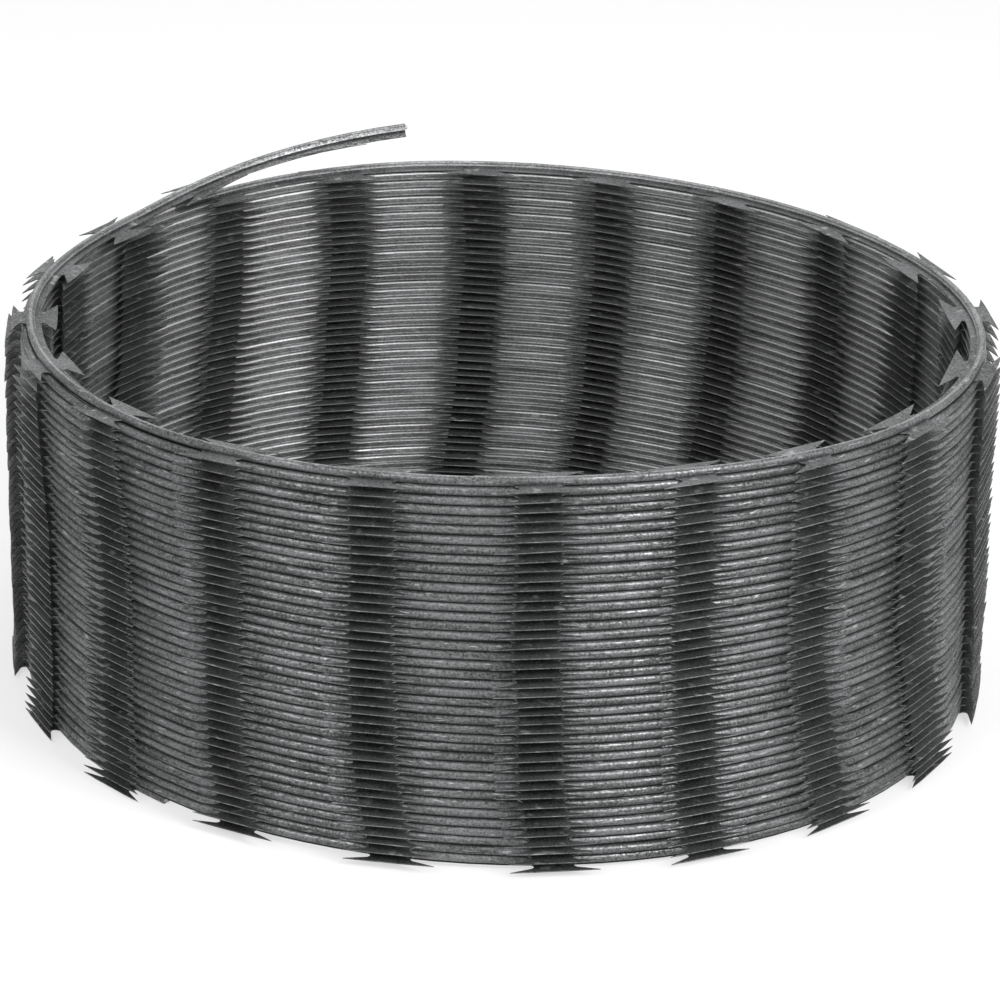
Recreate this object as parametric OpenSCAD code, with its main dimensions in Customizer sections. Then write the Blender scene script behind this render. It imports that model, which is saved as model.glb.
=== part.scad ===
// A closed coil of concertina wire: a steel strip with flat two-pointed barbs on both its edges,
// crimped round a hard core wire and wound into a stack of turns that lie on each other.
// Units are millimetres. The coil stands on its end, with its axis along Z and its foot at z = 0.

/* [Coil] */
// Diameter of a turn, at the middle of the crimped bead
coil_d = 600; // [500:10:980]
// Number of turns in the stack
turns = 42; // [6:1:56]
// Height from one turn to the next
pitch = 5.75; // [5.4:0.05:9]
// Width of the neck where a turn rests on the one below
neck_w = 1.8; // [1:0.1:3]

/* [Core wire] */
// Diameter of the core wire
wire_d = 2.5; // [2:0.1:3]
// Gap between the core wire and the strip crimped round it
crimp_gap = 0.05; // [0.02:0.01:0.2]
// Length of bare core wire that stands out of each cut end
wire_bare = 1.5; // [0.5:0.5:10]
// Length of core wire let into the lower cut end
wire_let_in = 30; // [10:5:60]

/* [Strip] */
// Thickness of the strip's flat seam and of its barbs
strip_t = 0.6; // [0.4:0.05:1]
// Height of the bead, where the strip is folded round the wire
bead_h = 5; // [4:0.1:5.2]
// Width of the flat seam on the inner side of the bead
seam_w = 4.5; // [2:0.5:8]
// Height of the bead's middle above the middle of the seam
seam_drop = 1.7; // [1:0.1:2]

/* [Barbs] */
// Barbs round one turn
barbs = 20; // [8:4:32]
// Where the first barb of the lowest turn stands, in degrees about the axis
barb_at = 9.5; // [0:0.5:18]
// How far the columns of barbs lean back round the axis from foot to top, in degrees
column_lean = 2.5; // [0:0.5:6]
// Length of a barb from point to point
barb_l = 54; // [30:1:65]
// Width of a barb's root, where it leaves the strip
root_w = 26; // [10:1:28]
// How far the outer barbs stand out from the bead
outer_reach = 9.5; // [4:0.5:12]
// How far the inner barbs stand in from the seam
inner_reach = 10; // [4:0.5:12]

/* [Upper loose end] */
// Where the top turn lifts off the stack, in degrees about the axis
lift_at = 143; // [120:1:160]
// Degrees of turn in the loose end
lift_span = 40; // [30:1:60]
// Slope of the loose end where it leaves the stack, in degrees
lift_slope = 7.4; // [4:0.1:10]
// How much smaller the loose end is, all round, than the turn it grows from
lift_step = 0.1; // [0.05:0.05:0.2]
// Length over which the turn below the loose end comes up to the top of the stack
run_out = 45; // [30:5:80]

/* [Lower loose end] */
// Where the lowest turn is cut off, in degrees about the axis
cut_at = -128; // [-140:1:-115]
// Length of the gap beside the cut
cut_gap = 26; // [10:1:40]

/* [Hidden] */
$fn = 128;
strip_colour = "dimgray";
wire_colour = "lightgray";
// How far the strip's plain outer edge lies in under the bead
lip_in = 0.3;
// Flats round the bead, with one of them underneath for the coil to stand on
bead_sides = 12;
turn_r = coil_d / 2;
bead_r = bead_h / 2;
corner_r = bead_r / cos(180 / bead_sides);
seam_r = turn_r - bead_r - seam_w;
seam_low = -seam_drop - strip_t / 2;
lip_r = turn_r + bead_r - lip_in;
root_in = seam_w / 3;
top_turn = turns - 1;
barb_step = 360 / barbs;
barb_span = degrees_of(barb_l);
bore_d = wire_d + 2 * crimp_gap;
sink = 4 * lift_step;
// How far the flat strip stops short of the end of its bead
set_back = 0.2;
loose_from = lift_at - lift_span;
gap_span = degrees_of(cut_gap);
let_in_span = degrees_of(wire_let_in);
over = 1;

// Corners of the bead, one unit out from its middle, with a flat at its foot.
bead_corners = [for (k = [0 : bead_sides - 1]) let (a = (k + 0.5) * 360 / bead_sides) [cos(a), sin(a)]];

// Degrees about the axis that a length takes up along a turn.
function degrees_of(length) = length / turn_r * 180 / PI;

// Height of the middle of a turn's bead, counting turns from 0 at the foot.
function turn_z(i) = bead_r + i * pitch;

// Where barb k of turn i stands.
function barb_angle(i, k) = barb_at + k * barb_step - column_lean * i / top_turn;

// Whether an angle lies between two others, going round from the first to the second.
function between(angle, low, high) = (angle - low + 720) % 360 < high - low;

// Whether turn i has a barb at an angle: the open turns have none across their gaps, and the
// loose end, which counts as one turn more, has them only along its own length.
function has_barb(i, angle) =
    i == turns ? between(angle, loose_from + barb_span / 2, lift_at - barb_span / 2)
    : i == top_turn ? !between(angle, loose_from - barb_span, lift_at + barb_span / 2)
    : i == 0 ? !between(angle, cut_at - barb_span / 2, cut_at + gap_span + barb_span / 2)
    : true;

// Section across the bead, with its middle on the X axis at a turn's radius.
module bead_section(shrink = 0) {
    translate([turn_r, 0]) polygon((corner_r - shrink) * bead_corners);
}

// Neck between a turn and the one above it.
module neck_section() {
    translate([turn_r - neck_w / 2, 0]) square([neck_w, pitch]);
}

// Outline of a barb that points both ways and stands out along +X from its root at radius root_r.
module barb_plan(root_r, tip_r) {
    polygon([[root_r, -root_w / 2], [tip_r, -barb_l / 2], [tip_r, barb_l / 2], [root_r, root_w / 2]]);
}

module outer_barb_plan() {
    barb_plan(lip_r - root_in, turn_r + bead_r + outer_reach);
}

module inner_barb_plan() {
    barb_plan(seam_r + root_in, seam_r - inner_reach);
}

// Repeats a barb's outline at each of its places on turn i.
module at_barbs(i) {
    for (k = [0 : barbs - 1])
        if (has_barb(i, barb_angle(i, k))) rotate(barb_angle(i, k)) children();
}

// Plan of turn i's flat strip: a ring with a row of barbs along each of its edges.
module strip_plan(i, shrink = 0) {
    difference() {
        union() {
            circle(r = lip_r - shrink);
            at_barbs(i) outer_barb_plan();
        }
        difference() {
            circle(r = seam_r + shrink);
            at_barbs(i) inner_barb_plan();
        }
    }
}

// Plan of the sector between two angles, with a length added to it at each side.
module sector_plan(from, to, more_from, more_to) {
    low = from - degrees_of(more_from);
    high = to + degrees_of(more_to);
    polygon([
        [0, 0], coil_d * [cos(low), sin(low)],
        coil_d * [cos((low + high) / 2), sin((low + high) / 2)], coil_d * [cos(high), sin(high)]
    ]);
}

// Turn i's flat strip, at its height in the stack.
module flat_strip(i) {
    translate([0, 0, turn_z(i) + seam_low]) linear_extrude(strip_t) difference() {
        strip_plan(i);
        if (i == 0) sector_plan(cut_at, cut_at + gap_span, set_back, set_back);
        if (i == top_turn) sector_plan(loose_from, lift_at, set_back, set_back);
    }
}

// The beads between the lowest and the highest turn, each with its neck to the one above.
module closed_beads() {
    rotate_extrude() for (i = [1 : top_turn - 1]) translate([0, turn_z(i)]) {
        bead_section();
        if (i < top_turn - 1) neck_section();
    }
}

// The highest turn, which stops where the loose end lifts and starts again below its tip.
module top_open_turn() {
    difference() {
        union() {
            translate([0, 0, turn_z(top_turn)]) rotate_extrude(start = lift_at, angle = 360 - lift_span) {
                bead_section();
                translate([0, -pitch]) neck_section();
            }
            flat_strip(top_turn);
        }
        rotate(loose_from) translate([turn_r, 0, turn_z(top_turn) - bead_r])
            rotate([-atan(bead_h / run_out), 0, 0]) translate([-run_out / 2, -2 * run_out, 0])
                cube([run_out, 2 * run_out + over, 2 * bead_h]);
    }
}

// The lowest turn, with the cut end on one side of its gap and the core wire's bore in that end.
module low_open_turn() {
    difference() {
        translate([0, 0, turn_z(0)]) rotate_extrude(start = cut_at + gap_span, angle = 360 - gap_span) {
            bead_section();
            neck_section();
        }
        low_wire(bore_d, over);
    }
    flat_strip(0);
}

// The loose end: a turn's arc tipped up about the radius where it leaves the stack.
module lifted() {
    translate([0, 0, turn_z(top_turn)]) rotate(lift_at) rotate([-lift_slope, 0, 0]) children();
}

module loose_end() {
    difference() {
        lifted() {
            rotate_extrude(start = -lift_span, angle = lift_span + degrees_of(sink)) bead_section(lift_step);
            translate([0, 0, seam_low + lift_step]) rotate(-lift_at)
                linear_extrude(strip_t - 2 * lift_step) intersection() {
                    strip_plan(turns, lift_step);
                    sector_plan(loose_from, lift_at, -set_back, set_back + sink);
                }
        }
        upper_wire(bore_d, over);
    }
}

// The core wire in the loose end, or with a wider section the bore for it.
module upper_wire(d, past = wire_bare) {
    lifted() rotate_extrude(start = -lift_span - degrees_of(past), angle = lift_span + degrees_of(past))
        translate([turn_r, 0]) circle(d = d);
}

// The core wire in the lower cut end, or with a wider section the bore for it.
module low_wire(d, past = wire_bare) {
    translate([0, 0, turn_z(0)])
        rotate_extrude(start = cut_at - let_in_span, angle = let_in_span + degrees_of(past))
            translate([turn_r, 0]) circle(d = d);
}

module barbed_strip() {
    color(strip_colour) {
        closed_beads();
        for (i = [1 : top_turn - 1]) flat_strip(i);
        top_open_turn();
        low_open_turn();
        loose_end();
    }
}

module core_wire() {
    color(wire_colour) {
        upper_wire(wire_d);
        low_wire(wire_d);
    }
}

barbed_strip();
core_wire();
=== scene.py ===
"""Looks of a closed coil of concertina wire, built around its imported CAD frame.

The coil is one long steel strip, punched with barbs along both edges, folded round a hard core
wire and wound into a helix whose turns lie on each other. Each piece is first wound as an open
spring, where every point's turn can be told from its height, and then closed up turn on turn.
Lengths are in millimetres until a piece is closed up, and in metres from then on.
"""

from __future__ import annotations

import logging
import math
from dataclasses import dataclass, field, replace
from enum import Enum
from typing import Iterable, Sequence

import bmesh
import bpy
from mathutils import Matrix, Vector, noise


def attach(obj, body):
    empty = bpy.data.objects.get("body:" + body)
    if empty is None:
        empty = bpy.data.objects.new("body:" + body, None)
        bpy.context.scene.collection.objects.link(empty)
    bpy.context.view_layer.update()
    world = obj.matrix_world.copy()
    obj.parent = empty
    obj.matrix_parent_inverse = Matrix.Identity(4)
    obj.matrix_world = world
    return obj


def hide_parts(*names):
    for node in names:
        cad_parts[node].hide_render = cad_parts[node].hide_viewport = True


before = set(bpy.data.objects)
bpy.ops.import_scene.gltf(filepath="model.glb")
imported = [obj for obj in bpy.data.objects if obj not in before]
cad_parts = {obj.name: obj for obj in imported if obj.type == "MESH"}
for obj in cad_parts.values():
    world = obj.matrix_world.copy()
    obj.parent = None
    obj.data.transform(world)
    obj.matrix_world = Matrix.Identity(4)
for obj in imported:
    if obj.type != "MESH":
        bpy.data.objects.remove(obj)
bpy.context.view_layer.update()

LOG = logging.getLogger("coil")
MM = 0.001
TURN = 360.0
NOISE_SPAN = 1.6  # widens the noise to about -1 to 1


class Edge(Enum):
    """The two edges of the strip that carry barbs."""

    OUTER = 1
    INNER = -1


class Finish(Enum):
    """The finishes of the folded strip, painted highlight, light and shade among them, by their
    place among its materials.
    """

    STEEL = 0
    LIP = 1
    PAINTED_LIGHT = 2
    PAINTED_SHADE = 3


def linear(code: str) -> tuple[float, float, float, float]:
    """Turns an sRGB hex colour to linear values.

    Args:
        code: six hex digits, with or without a leading hash.

    Returns:
        Red, green, blue and an alpha of 1.
    """
    digits = code.lstrip("#")
    channels = [int(digits[i : i + 2], 16) / 255 for i in (0, 2, 4)]
    r, g, b = [c / 12.92 if c <= 0.04045 else ((c + 0.055) / 1.055) ** 2.4 for c in channels]
    return (r, g, b, 1.0)


def smooth(low: float, high: float, value: float) -> float:
    """Rises smoothly from 0 to 1 as the value goes from low to high, and holds at both ends."""
    t = min(1.0, max(0.0, (value - low) / (high - low)))
    return t * t * (3 - 2 * t)


# --------------------------------------------------------------------------- the winding


@dataclass(frozen=True)
class Unevenness:
    """Smooth unevenness along the winding, the same in each run.

    The seed tells one from another. The rate says how fast it changes from one turn to the
    next, and the reach how fast it changes round one turn.
    """

    size: float
    seed: float
    rate: float
    reach: float

    def at(self, azimuth: float, turn: float) -> float:
        """How far off the even path a place lies.

        Args:
            azimuth: where round the coil, in radians.
            turn: how many turns up the winding.

        Returns:
            A value from about its size below 0 to its size above.
        """
        x, y = self.reach * math.cos(azimuth), self.reach * math.sin(azimuth)
        place = Vector((x, y, self.rate * turn + self.seed))
        return self.size * (noise.noise(place) * NOISE_SPAN)


@dataclass(frozen=True)
class Hill:
    """A smooth hill over part of the way round the coil, which may grow up the stack.

    It reaches as far to each side of its middle. At the stack's foot it has a share of its
    size, and it grows to all of it between two heights, given as shares of the stack.
    """

    size: float
    middle_deg: float
    reach_deg: float
    at_foot: float = 1.0
    grows_from: float = 0.0
    grows_to: float = 1.0

    def at(self, azimuth: float, share: float = 1.0) -> float:
        """How high the hill is at a place.

        Args:
            azimuth: where round the coil, in radians.
            share: how far up the stack, from 0 to 1.

        Returns:
            Its size at its top, 0 from its foot on.
        """
        away = abs((math.degrees(azimuth) - self.middle_deg + 180.0) % TURN - 180.0)
        grown = smooth(self.grows_from, self.grows_to, share)
        grown = self.at_foot + (1.0 - self.at_foot) * grown
        return self.size * (1.0 - smooth(0.0, self.reach_deg, away)) * grown


@dataclass(frozen=True)
class Winding:
    """The path of the strip round the coil, in millimetres, turns and degrees."""

    # The even helix. The foot is the height of the first bead's middle.
    turn_r: float = 300.0
    pitch: float = 5.75
    bead_r: float = 2.5
    seam_w: float = 4.5
    foot: float = 2.63
    start_deg: float = -128.0
    turns: float = 41 + 43 / 120
    open_pitch: float = 60.0

    # The loose end: how far it reaches, climbs and twists, and how softly it leaves the stack.
    loose_deg: float = 40.0
    loose_slope_deg: float = 7.1
    loose_twist_deg: float = 20.0
    loose_ease: float = 0.04
    lift_from_rad: float = -0.35
    twist_from_rad: float = -0.15

    # The last turn is drawn in between these two distances from where it leaves the stack.
    draw_in: float = 3.2
    draw_from: float = 0.45
    draw_to: float = 0.15

    # Both cut ends lie even over these parts of a turn.
    even_start: float = 0.12
    even_end: float = 0.1

    # How the whole stack leans, opens and wavers.
    lean_x: float = -4.4
    lean_y: float = -4.0
    slack_front: float = 0.0148
    slack_right: float = 0.0068
    sway_quick: Unevenness = Unevenness(0.75, seed=1.3, rate=0.97, reach=1.1)
    sway_slow: Unevenness = Unevenness(0.9, seed=5.9, rate=0.12, reach=0.8)
    uneven_z: Unevenness = Unevenness(0.2, seed=9.1, rate=0.93, reach=1.3)
    slip: Unevenness = Unevenness(2.5, seed=3.7, rate=0.085, reach=0.9)

    # How far the turns have crept round as they were stacked, in degrees.
    creep_middle: float = 1.3
    creep_left: Hill = Hill(3.4, -150.0, 42.0)
    creep_back: Hill = Hill(3.8, 98.0, 85.0)
    creep_right: Hill = Hill(5.0, -34.0, 40.0, at_foot=0.25, grows_to=0.5)
    creep_far_left: Hill = Hill(2.6, 157.0, 40.0, at_foot=0.0, grows_from=0.2, grows_to=0.7)
    creep_top_left: Hill = Hill(2.0, 150.0, 35.0, at_foot=0.0, grows_from=0.8)

    # How the stack is pressed flat on the left and bulges on the right, most at its foot.
    flat_left: Hill = Hill(11.0, 181.0, 63.0)
    full_right: Hill = Hill(1.0, -8.0, 60.0)
    full_top: float = 3.5
    full_foot: float = 2.2

    # How its top is low on the left and high at the front, and its foot has settled.
    low_left: Hill = Hill(11.0, 160.0, 62.0)
    low_front_left: Hill = Hill(5.0, -145.0, 50.0)
    high_front: Hill = Hill(4.6, -70.0, 42.0)
    settled: Hill = Hill(2.0, -52.0, 70.0)

    @property
    def lift_turn(self) -> float:
        """How many turns up the loose end leaves the stack."""
        return self.turns - self.loose_deg / TURN

    def edge_out(self, edge: Edge) -> float:
        """How far out from the bead's middle an edge of the strip lies."""
        return self.bead_r if edge is Edge.OUTER else -self.bead_r - self.seam_w

    def share(self, turn: float) -> float:
        """How far up the stack a turn lies, from 0 to 1."""
        return min(1.0, turn / self.turns)

    def open_place(self, turn: float, out: float, up: float) -> Vector:
        """Where a point, given as out and up from the bead's middle, lies in the open spring."""
        azimuth = math.radians(self.start_deg - TURN * turn)
        return self.turned(azimuth, self.turn_r + out, self.open_pitch * turn + up)

    def turn_of(self, place: Vector) -> float:
        """How many turns up the winding a point of the open spring lies, with their fraction."""
        share = (self.start_deg - math.degrees(math.atan2(place.y, place.x))) / TURN % 1.0
        return share + round(place.z / self.open_pitch - share)

    def closed_place(self, place: Vector, stretch: float = 1.0) -> Vector:
        """Where a point of the open spring comes to lie in the closed coil.

        Args:
            place: a point of the open spring.
            stretch: how much further along the strip the point lies than in the spring.

        Returns:
            The place in millimetres, in the row frame.
        """
        turn = self.turn_of(place)
        out = math.hypot(place.x, place.y) - self.turn_r
        up = place.z - self.open_pitch * turn
        turn *= stretch
        azimuth = math.radians(self.start_deg - TURN * turn)
        held = self.held(turn)
        slip = self.slip.at(azimuth, turn) * held / self.turn_r
        azimuth += slip - self.creep(azimuth, turn) * held
        if up < -self.foot and abs(out) < self.bead_r:
            up = -self.foot + (up + self.foot) * held
        r = self.radius(azimuth, turn)
        level = self.level(azimuth, turn)
        shift = turn / self.turns - 0.5
        lean = Vector((self.lean_x * shift, self.lean_y * shift, 0.0))
        past = math.radians(TURN * (turn - self.lift_turn))
        if past < self.lift_from_rad:
            return self.turned(azimuth, r + out, max(0.0, level + up)) + lean
        return self.lifted(azimuth, past, r, out, level, up) + lean

    def held(self, turn: float) -> float:
        """How much of the stack's unevenness a turn has, from 0 at the two cut ends to 1."""
        start = smooth(0.0, self.even_start, turn)
        return start * (1 - smooth(self.lift_turn - self.even_end, self.lift_turn, turn))

    def radius(self, azimuth: float, turn: float) -> float:
        """How far from the coil's axis the bead's middle lies.

        Args:
            azimuth: where round the coil, in radians.
            turn: turns up the winding.

        Returns:
            The radius in millimetres.
        """
        sway = self.sway_quick.at(azimuth, turn) + self.sway_slow.at(azimuth, turn)
        start, end = self.lift_turn - self.draw_from, self.lift_turn - self.draw_to
        drawn = self.draw_in * smooth(start, end, turn)
        return self.turn_r + sway * self.held(turn) + self.out_of_round(azimuth, turn) - drawn

    def level(self, azimuth: float, turn: float) -> float:
        """How high the bead's middle lies, before the loose end lifts.

        Args:
            azimuth: where round the coil, in radians.
            turn: turns up the winding.

        Returns:
            The height in millimetres.
        """
        slack = 1 - self.slack_front * math.sin(azimuth) + self.slack_right * math.cos(azimuth)
        even = self.pitch * min(turn, self.lift_turn) * slack
        stacked = self.foot + max(0.0, even + self.sag(azimuth, turn))
        return stacked + self.uneven_z.at(azimuth, turn) * self.held(turn)

    def creep(self, azimuth: float, turn: float) -> float:
        """How far the strip has crept along its turns as they were stacked.

        Args:
            azimuth: where round the coil, in radians.
            turn: turns up the winding.

        Returns:
            The angle in radians, positive up the winding.
        """
        share = self.share(turn)
        hills = (self.creep_back, self.creep_right, self.creep_far_left, self.creep_top_left)
        bow = self.creep_middle - self.creep_left.at(azimuth)
        bow *= 4.0 * share * (1.0 - share)
        return math.radians(sum(hill.at(azimuth, share) for hill in hills) + bow)

    def out_of_round(self, azimuth: float, turn: float) -> float:
        """How far the stack bulges, or below 0 is pressed flat, at a place, in millimetres."""
        full = self.full_top + self.full_foot * (1.0 - self.share(turn))
        return full * self.full_right.at(azimuth) - self.flat_left.at(azimuth)

    def sag(self, azimuth: float, turn: float) -> float:
        """How the turns lie higher or lower than an even stack.

        Args:
            azimuth: where round the coil, in radians.
            turn: turns up the winding.

        Returns:
            Millimetres, positive upwards.
        """
        share = self.share(turn)
        low = self.low_left.at(azimuth) + self.low_front_left.at(azimuth)
        foot = self.settled.at(azimuth) * min(1.0, turn)
        return (self.high_front.at(azimuth) - low) * share - foot * (1.0 - share)

    @staticmethod
    def turned(azimuth: float, r: float, z: float) -> Vector:
        """The point at a radius, azimuth and height."""
        return Vector((r * math.cos(azimuth), r * math.sin(azimuth), z))

    def lifted(
        self, azimuth: float, past: float, r: float, out: float, level: float, up: float
    ) -> Vector:
        """Where a point near or on the loose end lies.

        Args:
            azimuth: where round the coil, in radians.
            past: angle past the place where the strip leaves the stack, in radians.
            r: radius of the bead's middle.
            out: how far out from the bead's middle.
            level: height of the bead's middle, before it lifts.
            up: how far above the bead's middle.

        Returns:
            The place in millimetres.
        """
        climb = 0.5 * (math.sin(past) + math.hypot(math.sin(past), self.loose_ease))
        share = smooth(self.twist_from_rad, math.radians(self.loose_deg), past)
        twist = math.radians(self.loose_twist_deg) * share
        turned_out = out * math.cos(twist) - up * math.sin(twist)
        turned_up = out * math.sin(twist) + up * math.cos(twist)
        rise = (r + turned_out) * climb * math.sin(math.radians(self.loose_slope_deg))
        return self.turned(azimuth, r + turned_out, level + rise + turned_up)


# --------------------------------------------------------------------------- meshes


def wind(bm: bmesh.types.BMesh, winding: Winding, part: float, steps: int, apart: bool) -> None:
    """Winds all of a mesh along part of a turn of the open spring.

    Args:
        bm: the mesh, in millimetres.
        winding: the path that it follows.
        part: how many turns to wind it.
        steps: how many steps to take.
        apart: whether each step leaves a copy, and not a skin between its edges.
    """
    bmesh.ops.spin(
        bm,
        geom=bm.verts[:] + bm.edges[:] + bm.faces[:],
        cent=Vector(),
        axis=Vector((0.0, 0.0, 1.0)),
        dvec=Vector((0.0, 0.0, winding.open_pitch * part / steps)),
        angle=-math.radians(TURN * part),
        steps=steps,
        use_duplicate=apart,
    )


def stack_turns(bm: bmesh.types.BMesh, winding: Winding, turns: int) -> None:
    """Repeats one turn of the open spring.

    Args:
        bm: a mesh that holds one turn, in millimetres.
        winding: the path that it follows.
        turns: how many turns it has afterwards.
    """
    first = bm.verts[:] + bm.edges[:] + bm.faces[:]
    for turn in range(1, turns):
        made = bmesh.ops.duplicate(bm, geom=first)["geom"]
        verts = [g for g in made if isinstance(g, bmesh.types.BMVert)]
        rise = Vector((0.0, 0.0, winding.open_pitch * turn))
        bmesh.ops.translate(bm, verts=verts, vec=rise)


def join_in(bm: bmesh.types.BMesh, part: bmesh.types.BMesh) -> None:
    """Adds one mesh to another.

    Args:
        bm: the mesh that grows.
        part: the mesh that goes into it, which is freed.
    """
    carrier = bpy.data.meshes.new("carrier")
    part.to_mesh(carrier)
    part.free()
    bm.from_mesh(carrier)
    bpy.data.meshes.remove(carrier)


def close_up(bm: bmesh.types.BMesh, winding: Winding, stretch: float = 1.0) -> None:
    """Closes an open spring turn on turn, stretched along the strip, and turns it to metres."""
    for vert in bm.verts:
        vert.co = winding.closed_place(vert.co, stretch) * MM


def finish_mesh(
    name: str, bm: bmesh.types.BMesh, materials: Sequence[bpy.types.Material], crease: float = 38.0
) -> bpy.types.Object:
    """Makes an object of a mesh, smooth over its curves and sharp at its corners.

    Args:
        name: the object's name.
        bm: its mesh, which is freed.
        materials: what its material indices stand for.
        crease: angle in degrees from which an edge is sharp.

    Returns:
        The new object, at the origin.
    """
    mesh = bpy.data.meshes.new(name)
    bm.to_mesh(mesh)
    bm.free()
    for material in materials:
        mesh.materials.append(material)
    mesh.shade_smooth()
    mesh.set_sharp_from_angle(angle=math.radians(crease))
    piece = bpy.data.objects.new(name, mesh)
    bpy.context.scene.collection.objects.link(piece)
    return piece


def polygon(bm: bmesh.types.BMesh, corners: Iterable[Vector]) -> bmesh.types.BMFace:
    """Adds one flat face with these corners, in order."""
    return bm.faces.new([bm.verts.new(corner) for corner in corners])


# --------------------------------------------------------------------------- finishes


class Nodes:
    """A node tree, with one way to add a node."""

    def __init__(self, tree: bpy.types.NodeTree) -> None:
        """Clears the node tree of a material or a world, and works on it from then on."""
        self.tree = tree
        self.tree.nodes.clear()

    def add(
        self, kind: str, links: dict[str, object] | None = None, **settings: object
    ) -> bpy.types.Node:
        """Adds a node with its settings and links.

        Args:
            kind: the node's type.
            links: for each input, by name or number, a value or the output that feeds it.
            **settings: the node's own properties.

        Returns:
            The new node.
        """
        node = self.tree.nodes.new(kind)
        for key, value in settings.items():
            setattr(node, key, value)
        for key, value in (links or {}).items():
            socket = node.inputs[int(key)] if key.isdigit() else node.inputs[key]
            if isinstance(value, bpy.types.NodeSocket):
                self.tree.links.new(value, socket)
            else:
                socket.default_value = value
        return node

    def maths(self, operation: str, first: object, second: object) -> bpy.types.NodeSocket:
        """Adds a sum, a product or the like of two values or outputs."""
        values = {"0": first, "1": second}
        return self.add("ShaderNodeMath", values, operation=operation).outputs[0]

    def grain(
        self, place: bpy.types.NodeSocket, size_mm: float, detail: float, rough: float
    ) -> bpy.types.NodeSocket:
        """Adds a noise.

        Args:
            place: where it is looked up.
            size_mm: the size of its grains.
            detail: how many finer layers it has.
            rough: how strong they are.

        Returns:
            Its value, most of it from 0.3 to 0.7.
        """
        scale = 1 / (size_mm * MM)
        links = {"Vector": place, "Scale": scale, "Detail": detail, "Roughness": rough}
        return self.add("ShaderNodeTexNoise", links).outputs["Fac"]

    def spread(
        self,
        value: bpy.types.NodeSocket,
        given: tuple[float, float],
        wanted: tuple[float, float] = (0.0, 1.0),
    ) -> bpy.types.NodeSocket:
        """Maps one span of values to another, and holds it at both ends.

        Args:
            value: the value.
            given: the span that it comes with.
            wanted: the span that it gets.

        Returns:
            The mapped value.
        """
        links = {"Value": value, "From Min": given[0], "From Max": given[1]}
        links |= {"To Min": wanted[0], "To Max": wanted[1]}
        return self.add("ShaderNodeMapRange", links).outputs["Result"]

    def blend(self, share: object, first: object, second: object) -> bpy.types.NodeSocket:
        """Mixes two colours, with this share of the second."""
        colours = {"Factor": share, "6": first, "7": second}
        return self.add("ShaderNodeMix", colours, data_type="RGBA").outputs[2]

    def seen_by_eye(self) -> bpy.types.NodeSocket:
        """Tells rays that come from the camera, from a mirror or through glass.

        Returns:
            1 for those, 0 for the rest.
        """
        rays = self.add("ShaderNodeLightPath").outputs
        seen = rays["Is Camera Ray"]
        for other in ("Is Glossy Ray", "Is Transmission Ray"):
            seen = self.maths("MAXIMUM", seen, rays[other])
        return seen


@dataclass(frozen=True)
class GalvanisedSteel:
    """Hot-dip galvanised steel strip, rolled and weathered to a dull grey.

    The zinc gives a fine speckle of lighter and darker grains, a little streaked along the
    strip, and handling and rolling leave small bright marks.
    """

    name: str
    dark: str = "333434"
    light: str = "777879"
    scuff: str = "b4b5b6"
    metallic: float = 0.65
    rough_low: float = 0.32
    rough_high: float = 0.6
    grain_mm: float = 1.4
    streak_mm: float = 5.0
    scuff_mm: float = 0.9
    bump_mm: float = 0.05
    bump_strength: float = 0.6
    stretch: tuple[float, float, float] = (0.11, 0.11, 1.0)
    grain_span: tuple[float, float] = (0.3, 0.7)
    streak_share: float = 0.3
    scuff_span: tuple[float, float] = (0.64, 0.76)
    scuff_share: float = 0.6

    def make(self) -> bpy.types.Material:
        """Builds the material.

        Returns:
            The finished material.
        """
        material = bpy.data.materials.new(self.name)
        material.use_nodes = True
        n = Nodes(material.node_tree)
        place = n.add("ShaderNodeTexCoord").outputs["Object"]
        along = n.add(
            "ShaderNodeVectorMath", {"0": place, "1": self.stretch}, operation="MULTIPLY"
        ).outputs["Vector"]
        grain = n.grain(place, self.grain_mm, detail=3.0, rough=0.6)
        streak = n.grain(along, self.streak_mm, detail=2.0, rough=0.6)
        scratch = n.grain(along, self.scuff_mm, detail=1.0, rough=0.5)
        speck = n.spread(grain, self.grain_span)
        patch = n.spread(streak, self.grain_span, (-self.streak_share, self.streak_share))
        worn = n.spread(scratch, self.scuff_span, (0.0, self.scuff_share))
        tone = n.add("ShaderNodeMath", {"0": speck, "1": patch}, operation="ADD", use_clamp=True)
        zinc = n.blend(tone.outputs[0], linear(self.dark), linear(self.light))
        bump = n.add(
            "ShaderNodeBump",
            {"Height": grain, "Strength": self.bump_strength, "Distance": self.bump_mm * MM},
        )
        shader = n.add(
            "ShaderNodeBsdfPrincipled",
            {
                "Base Color": n.blend(worn, zinc, linear(self.scuff)),
                "Metallic": self.metallic,
                "Roughness": n.spread(grain, self.grain_span, (self.rough_high, self.rough_low)),
                "Normal": bump.outputs["Normal"],
            },
        )
        n.add("ShaderNodeOutputMaterial", {"Surface": shader.outputs["BSDF"]})
        return material


# --------------------------------------------------------------------------- the coil


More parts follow.
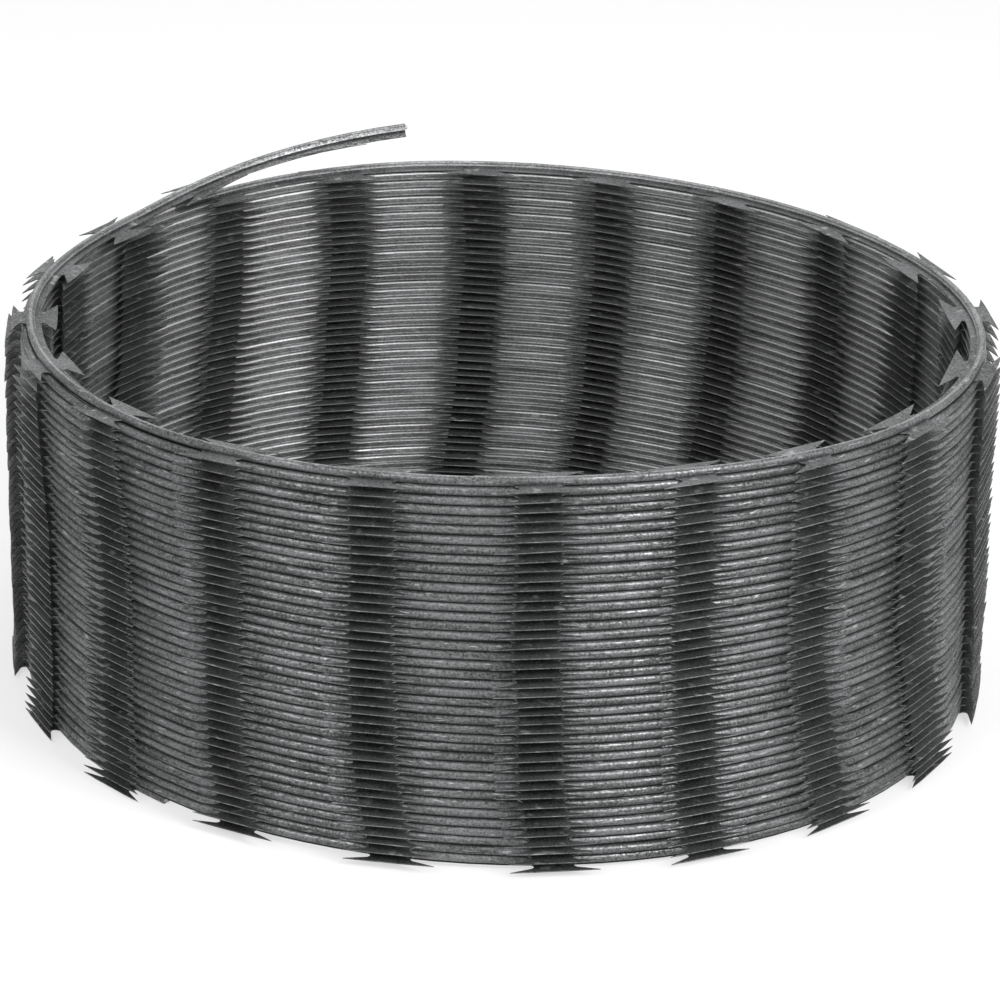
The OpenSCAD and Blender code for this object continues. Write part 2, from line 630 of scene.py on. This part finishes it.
@dataclass
class FoldedStrip:
    """The strip folded round its wire, without its barbs."""

    winding: Winding
    steel: bpy.types.Material
    # The lip's zinc, painted near white as a painted highlight.
    cut: bpy.types.Material
    # Paler zinc: painted light inside the coil and a painted highlight on the top turn's crest.
    painted_light: bpy.types.Material
    # Near-black zinc: painted shade in the groove between turns.
    painted_shade: bpy.types.Material

    # The bead's height, and where points lie round it.
    bead_h: float = 5.4
    arc_deg: Sequence[float] = (-58, -28, 0, 26, 50, 72, 92, 112, 134, 156)

    # The sheared lip: its outermost line, and its points out from that and up.
    lip_out: float = 0.45
    lip_curve: Sequence[tuple[float, float]] = ((0.2, 0.7), (0.0, 0.35), (0.1, -0.1))

    # The bead's side below the lip, and the fillet where it meets the seam.
    side_in: float = 0.1
    side_up: float = -0.2
    fillet_w: float = 0.4
    fillet_h: float = 0.15

    # The doubled seam.
    strip_t: float = 0.6
    seam_t: float = 1.0
    seam_drop: float = 1.7
    corner: float = 0.2
    upper_corner: float = 0.25
    seam_root: float = -1.4

    # The web that rests on the turn below.
    rest_w: float = 1.2
    rest_h: float = 1.0

    # Where each finish begins, as out or up from the bead's middle: the groove's painted shade,
    # the lip, the paler zinc of painted light inside the coil, and the top turn's crest with its
    # painted highlight.
    painted_shade_out: float = 1.1
    painted_shade_h: float = 0.3
    lip_from: float = -0.2
    inner_from: float = -0.8
    crest: tuple[float, float] = (-1.5, 0.8)
    crest_up: float = 2.0

    steps_per_turn: int = 96
    weld_mm: float = 0.01

    def section(self) -> list[tuple[float, float]]:
        """Outline of the strip's section.

        Below the bead a narrow web reaches into the next bead, where it can't be seen, so that
        no light comes through between the turns.

        Returns:
            Its points, as pairs of out and up from the bead's middle.
        """
        bead, tall = self.winding.bead_r, self.bead_h / 2
        top = -self.seam_drop + self.strip_t / 2
        low = top - self.seam_t
        inner = self.winding.edge_out(Edge.INNER)
        lip = -bead - self.lip_out
        web, sole = self.rest_w / 2, -tall - self.rest_h
        arc = [math.radians(a) for a in self.arc_deg]
        points = [(bead * math.cos(a), tall * math.sin(a)) for a in arc]
        # The lip turns down over the bead's inner side and back in below its edge.
        points += [(lip + out, up) for out, up in self.lip_curve]
        # The bead's side goes down to the seam.
        side = -bead + self.side_in
        points += [(side, self.side_up), (side, top + self.fillet_h)]
        points += [(-bead - self.fillet_w, top)]
        # The doubled seam, with its corners taken off.
        points += [(inner + self.corner, top), (inner, top - self.upper_corner)]
        points += [(inner, low + self.corner), (inner + self.corner, low)]
        # The web under the bead.
        points += [(self.seam_root, low), (-web, -tall), (-web, sole), (web, sole), (web, -tall)]
        return points

    def finish_of(self, face: bmesh.types.BMFace) -> Finish:
        """Which finish a face of the open spring has.

        The seam and the bead's inner side get a paler zinc where the turn above lies on them:
        painted light that lifts the shade inside the coil. On the top turn only the lip and the
        crest get it, as a painted highlight.

        Args:
            face: the face.

        Returns:
            The finish.
        """
        w = self.winding
        middle = face.calc_center_median()
        turn = w.turn_of(middle)
        out = math.hypot(middle.x, middle.y) - w.turn_r
        up = middle.z - w.open_pitch * turn
        # The web under the bead: near-black zinc, painted shade where the gap between turns is in
        # shade.
        if abs(out) < self.painted_shade_out and up < -self.bead_h / 2 + self.painted_shade_h:
            return Finish.PAINTED_SHADE
        lip = out < -w.bead_r and up > self.lip_from
        # On the top turn the lip and the crest get the paler zinc as a painted highlight.
        if turn > w.lift_turn - 1.0:
            crest = self.crest[0] < out < self.crest[1] and up > self.crest_up
            return Finish.PAINTED_LIGHT if lip or crest else Finish.STEEL
        # The lip of the covered turns: near-white zinc, a painted highlight.
        if lip:
            return Finish.LIP
        # Their inner side: paler zinc, painted light that lifts the shade inside the coil.
        return Finish.PAINTED_LIGHT if out < self.inner_from else Finish.STEEL

    def length(self, start: float, turns: float) -> bmesh.types.BMesh:
        """Winds the section along up to one turn of the open spring.

        Args:
            start: turns up the winding where it begins.
            turns: how far it is wound.

        Returns:
            Its skin, open at both ends.
        """
        bm = bmesh.new()
        places = [self.winding.open_place(start, out, up) for out, up in self.section()]
        ring = [bm.verts.new(place) for place in places]
        for i, vert in enumerate(ring):
            bm.edges.new((ring[i - 1], vert))
        wind(bm, self.winding, turns, round(turns * self.steps_per_turn), False)
        return bm

    def build(self) -> bpy.types.Object:
        """Winds the section along the whole coil.

        Returns:
            The finished piece.
        """
        whole = int(self.winding.turns)
        bm = self.length(0.0, 1.0)
        stack_turns(bm, self.winding, whole)
        join_in(bm, self.length(float(whole), self.winding.turns - whole))
        bmesh.ops.remove_doubles(bm, verts=bm.verts[:], dist=self.weld_mm)
        ends = [e for e in bm.edges if e.is_boundary]
        for face in bm.faces:
            face.material_index = self.finish_of(face).value
        # The cut ends are capped with the paler zinc that carries the painted light.
        for cap in bmesh.ops.holes_fill(bm, edges=ends, sides=0)["faces"]:
            cap.material_index = Finish.PAINTED_LIGHT.value
        bmesh.ops.recalc_face_normals(bm, faces=bm.faces[:])
        close_up(bm, self.winding)
        finishes = (self.steel, self.cut, self.painted_light, self.painted_shade)
        return finish_mesh("folded_strip", bm, finishes)


@dataclass
class BarbRow:
    """One row of flat barbs, punched in one piece with the strip."""

    winding: Winding
    edge: Edge
    # The flats' zinc is a touch darker, a little painted shade.
    flat: bpy.types.Material
    steel: bpy.types.Material

    # Where the barbs sit.
    per_turn: int = 20
    first_deg: float = -135.0
    last_turn: float = 41.345
    lean_deg: float = 2.6
    level: float = -1.8

    # Each barb. The root's curve is given as how far past the root it lies along the strip, and
    # as a share of the notch. A face is a flat from this height of its normal on.
    reach: float = 9.0
    half_length: float = 27.0
    root: float = 12.0
    notch: float = 5.0
    strip_t: float = 0.6
    bevel_mm: float = 0.1
    flat_from: float = 0.9
    root_in: tuple[float, float] = (2.4, -1.0)
    root_curve: Sequence[tuple[float, float]] = (
        (1.4, 0.04),
        (0.4, 0.2),
        (0.0, 0.45),
        (0.2, 0.7),
        (1.2, 0.9),
        (2.6, 1.0),
    )
    tip_back: float = 0.4
    crown: float = 2.0

    # How handling has bent them: each barb, its wings past a threshold, and the loose end's.
    tilt: Unevenness = Unevenness(0.5, seed=13.0, rate=0.9, reach=4.0)
    wing: Unevenness = Unevenness(1.0, seed=33.0, rate=2.3, reach=16.0)
    wing_from: float = 0.35
    wing_bend: float = 1.3
    droop: float = 0.5
    bend_per_turn: float = 0.3
    loose_bend: float = 0.0
    loose_turns: float = 0.045

    def outline(self) -> list[tuple[float, float]]:
        """Outline of one barb.

        Returns:
            Its points, as pairs of along and out from the strip's edge.
        """
        side = [(self.root + self.root_in[0], self.root_in[1])]
        side += [(self.root + along, out * self.notch) for along, out in self.root_curve]
        side += [(self.half_length, self.reach - self.tip_back)]
        side += [(self.root + self.crown, self.reach)]
        return side + [(-along, out) for along, out in reversed(side)]

    def barb(self) -> bmesh.types.BMesh:
        """Makes the first barb of the open spring.

        Returns:
            Its mesh, with plain flat sides and worn edges.
        """
        w = self.winding
        half = self.strip_t / 2
        bm = bmesh.new()
        first = ((w.start_deg - self.first_deg) % TURN) / TURN
        turn_to = Matrix.Rotation(math.radians(w.start_deg - TURN * first), 4, "Z")
        edge_r = w.turn_r + w.edge_out(self.edge)
        low = w.open_pitch * first + (self.level - half)
        corners = [
            turn_to @ Vector((edge_r + self.edge.value * out, along, low))
            for along, out in self.outline()
        ]
        raised = bmesh.ops.extrude_face_region(bm, geom=[polygon(bm, corners)])["geom"]
        tops = [g for g in raised if isinstance(g, bmesh.types.BMVert)]
        bmesh.ops.translate(bm, verts=tops, vec=Vector((0.0, 0.0, self.strip_t)))
        bmesh.ops.recalc_face_normals(bm, faces=bm.faces[:])
        rims = [e for e in bm.edges if abs(e.verts[0].co.z - e.verts[1].co.z) < half]
        bmesh.ops.bevel(
            bm,
            geom=rims,
            offset=self.bevel_mm,
            affect="EDGES",
            segments=1,
            profile=0.5,
            material=-1,
        )
        bm.normal_update()
        for face in bm.faces:
            # Faces that face up or down get the flats' zinc with its painted shade; the sheared
            # sides get plain zinc.
            face.material_index = 0 if abs(face.normal.z) > self.flat_from else 1
        return bm

    def build(self) -> bpy.types.Object:
        """Repeats one barb along the whole strip.

        Returns:
            The finished piece.
        """
        w = self.winding
        bm = self.barb()
        wind(bm, w, 1 - 1 / self.per_turn, self.per_turn - 1, True)
        stack_turns(bm, w, math.ceil(w.turns))
        spare = [v for v in bm.verts if w.turn_of(v.co) > self.last_turn]
        bmesh.ops.delete(bm, geom=spare, context="VERTS")
        self.bend(bm)
        close_up(bm, w, 1 + self.lean_deg / (TURN * w.turns))
        name = "outer_barbs" if self.edge is Edge.OUTER else "inner_barbs"
        return finish_mesh(name, bm, (self.flat, self.steel), crease=20.0)

    def past_root(self, turn: float) -> float:
        """How far out on a barb's wing a place lies.

        Args:
            turn: turns up the winding.

        Returns:
            A share from 0 at the wing's root to 1 at its tip.
        """
        from_first = self.winding.start_deg - TURN * turn - self.first_deg
        along = from_first * self.per_turn / TURN % 1.0
        away = min(along, 1.0 - along) * math.tau * self.winding.turn_r / self.per_turn
        return min(1.0, max(0.0, (away - self.root) / (self.half_length - self.root)))

    def bend(self, bm: bmesh.types.BMesh) -> None:
        """Bends the barbs a little up or down, and those on the loose end close to the strip.

        Args:
            bm: the mesh of all the barbs, in the open spring.
        """
        w = self.winding
        side = self.edge.value
        tilt = replace(self.tilt, seed=self.tilt.seed + side)
        wing = replace(self.wing, seed=self.wing.seed + side)
        edge_r = w.turn_r + w.edge_out(self.edge)
        for vert in bm.verts:
            out = (math.hypot(vert.co.x, vert.co.y) - edge_r) * side
            if out > 0:
                turn = w.turn_of(vert.co)
                azimuth = math.atan2(vert.co.y, vert.co.x)
                bent = max(0.0, abs(wing.at(azimuth, turn)) - self.wing_from)
                bend = tilt.at(azimuth, turn) + self.wing_bend * bent * self.past_root(turn)
                free = min(1.0, self.bend_per_turn * turn)
                loose = smooth(w.lift_turn, w.lift_turn + self.loose_turns, turn)
                vert.co.z += (bend - self.droop) * free * out / self.reach
                vert.co.z += self.loose_bend * out * loose


@dataclass
class CoreWire:
    """The ends of the hard core wire, where they show at the two cuts."""

    winding: Winding
    wire: bpy.types.Material
    wire_r: float = 1.25
    bare: float = 1.5
    let_in: float = 12.0
    sides: int = 14
    steps: int = 6

    def build(self) -> bpy.types.Object:
        """Makes both ends as one piece.

        Returns:
            The finished piece.
        """
        w = self.winding
        around = math.tau * w.turn_r
        bare, let_in = self.bare / around, self.let_in / around
        bm = bmesh.new()
        join_in(bm, self.length(-bare, let_in))
        join_in(bm, self.length(w.turns - let_in, w.turns + bare))
        bmesh.ops.recalc_face_normals(bm, faces=bm.faces[:])
        close_up(bm, w)
        return finish_mesh("core_wire_ends", bm, (self.wire,))

    def length(self, start: float, end: float) -> bmesh.types.BMesh:
        """Makes one length of wire in the open spring.

        Args:
            start: turns up the winding where it begins.
            end: turns up the winding where it ends.

        Returns:
            Its mesh.
        """
        bm = bmesh.new()
        angles = [math.tau * k / self.sides for k in range(self.sides)]
        round_it = [(self.wire_r * math.cos(a), self.wire_r * math.sin(a)) for a in angles]
        polygon(bm, [self.winding.open_place(start, out, up) for out, up in round_it])
        wind(bm, self.winding, end - start, self.steps, False)
        return bm


@dataclass
class Coil:
    """The whole coil."""

    winding: Winding = field(default_factory=Winding)

    def build(self) -> list[bpy.types.Object]:
        """Makes all of the coil's pieces and ties them to the frame.

        Returns:
            The pieces.
        """
        # The plain zinc skin: dull grey beads with a fine speckle.
        steel = GalvanisedSteel("galvanised_strip").make()
        # The lip, a real sheared edge, painted near white: a painted highlight, one crisp bright
        # line a turn inside the coil.
        cut = GalvanisedSteel("sheared_edge_painted_highlight", dark="d4d4d4", light="fcfcfc", scuff="fcfcfc").make()
        # Bare steel wire: two small bright discs at the cut ends.
        wire = GalvanisedSteel("cut_wire", dark="8c8c8c", light="d0d0d0").make()
        # Zinc rubbed by the turns next to it: a paler inside, and a worn crest on the top turn.
        # Paler zinc: painted light that lifts the shade inside the coil, and a painted highlight
        # along the lip and crest of the top turn.
        painted_light = GalvanisedSteel("zinc_with_painted_light", dark="585959", light="9a9b9c").make()
        # Near-black zinc: painted shade on the web between two turns, where the gap lies in shade,
        # one thin dark line a turn.
        painted_shade = GalvanisedSteel(
            "zinc_with_painted_shade", dark="0c0c0c", light="1c1c1c", scuff="1c1c1c"
        ).make()
        # The flats of the barbs, a touch darker than the beads as painted shade on their lit tops,
        # in the dark columns up the coil.
        flat = GalvanisedSteel("punched_barb_painted_shade", light="757677").make()
        w = self.winding
        strip = FoldedStrip(w, steel, cut, painted_light, painted_shade).build()
        outer = BarbRow(w, Edge.OUTER, flat, steel, loose_bend=-0.8).build()
        inner = BarbRow(
            w, Edge.INNER, flat, steel, reach=9.8, root=11.5, notch=3.2, loose_bend=0.95
        ).build()
        core = CoreWire(w, wire).build()
        for piece in (strip, outer, inner):
            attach(piece, "root")
            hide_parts("barbed_strip")
        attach(core, "root")
        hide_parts("core_wire")
        return [strip, outer, inner, core]


# --------------------------------------------------------------------------- the studio


@dataclass(frozen=True)
class Softbox:
    """One square softbox, in metres and watts."""

    name: str
    place: tuple[float, float, float]
    power: float
    aim: tuple[float, float, float] = (0.0, 0.1, 0.1)
    side: float = 1.2

    def hang(self) -> None:
        """Hangs the lamp and points it at its aim."""
        data = bpy.data.lights.new(self.name, "AREA")
        data.shape = "SQUARE"
        data.size = self.side
        data.energy = self.power
        lamp = bpy.data.objects.new(self.name, data)
        lamp.location = self.place
        towards = Vector(self.aim) - Vector(self.place)
        lamp.rotation_euler = towards.to_track_quat("-Z", "Y").to_euler()
        bpy.context.scene.collection.objects.link(lamp)


@dataclass(frozen=True)
class Studio:
    """Floor, light and camera."""

    view_mm: tuple[float, float, float] = (7.9, -2473.3, 1139.4)
    pitch_deg: float = 22.65
    roll_deg: float = 2.7
    lens_mm: float = 152.28
    sensor_mm: float = 36.0
    sees_m: float = 50.0
    floor_m: float = 12.0
    floor_glow: float = 0.6
    world_light: float = 0.65
    lamps: tuple[Softbox, ...] = (
        Softbox("left_softbox", (-1.6, -2.2, 2.0), 41.0),
        Softbox("right_softbox", (1.9, -1.9, 1.9), 92.0),
        Softbox("top_softbox", (0.0, 0.7, 2.3), 12.0, aim=(0.0, 0.0, 0.1)),
    )

    def build(self) -> None:
        """Sets up the floor, the light and the camera."""
        self.floor()
        self.light()
        self.camera()
        bpy.context.scene.view_settings.view_transform = "Standard"

    def floor(self) -> None:
        """Lays a plain white floor that keeps the coil's shadow."""
        bm = bmesh.new()
        bmesh.ops.create_grid(bm, x_segments=1, y_segments=1, size=self.floor_m / 2)
        # White paint that seems half lit from within, so that it stays pale to the eye.
        material = bpy.data.materials.new("white_floor")
        material.use_nodes = True
        n = Nodes(material.node_tree)
        paint = n.add("ShaderNodeBsdfDiffuse", {"Color": linear("f2f2f2")})
        glow = n.add("ShaderNodeEmission", {"Color": linear("ffffff"), "Strength": 1.0})
        share = n.maths("MULTIPLY", n.seen_by_eye(), self.floor_glow)
        layers = {"0": share, "1": paint.outputs[0], "2": glow.outputs[0]}
        mixed = n.add("ShaderNodeMixShader", layers)
        n.add("ShaderNodeOutputMaterial", {"Surface": mixed.outputs[0]})
        finish_mesh("floor", bm, (material,))

    def light(self) -> None:
        """Lights the coil softly from above and from the front."""
        world = bpy.data.worlds.new("studio")
        bpy.context.scene.world = world
        world.use_nodes = True
        n = Nodes(world.node_tree)
        white = linear("ffffff")
        lit = n.add("ShaderNodeBackground", {"Color": white, "Strength": self.world_light})
        shown = n.add("ShaderNodeBackground", {"Color": white, "Strength": 1.0})
        layers = {"0": n.seen_by_eye(), "1": lit.outputs[0], "2": shown.outputs[0]}
        mixed = n.add("ShaderNodeMixShader", layers)
        n.add("ShaderNodeOutputWorld", {"Surface": mixed.outputs[0]})
        for lamp in self.lamps:
            lamp.hang()

    def camera(self) -> None:
        """Places the camera."""
        data = bpy.data.cameras.new("camera")
        data.sensor_width = self.sensor_mm
        data.lens = self.lens_mm
        data.clip_end = self.sees_m
        camera = bpy.data.objects.new("camera", data)
        tip = Matrix.Rotation(math.radians(90.0 - self.pitch_deg), 4, "X")
        roll = Matrix.Rotation(math.radians(self.roll_deg), 4, "Z")
        place = Matrix.Translation(Vector(self.view_mm) * MM)
        camera.matrix_world = place @ tip @ roll
        bpy.context.scene.collection.objects.link(camera)
        bpy.context.scene.camera = camera


def main() -> None:
    """Builds the coil and its studio and reports each piece."""
    logging.basicConfig(level=logging.INFO, format="%(name)s: %(message)s")
    Studio().build()
    for piece in Coil().build():
        faces = sum(len(p.vertices) - 2 for p in piece.data.polygons)
        LOG.info("%s: %d triangles", piece.name, faces)


if __name__ == "__main__":
    main()
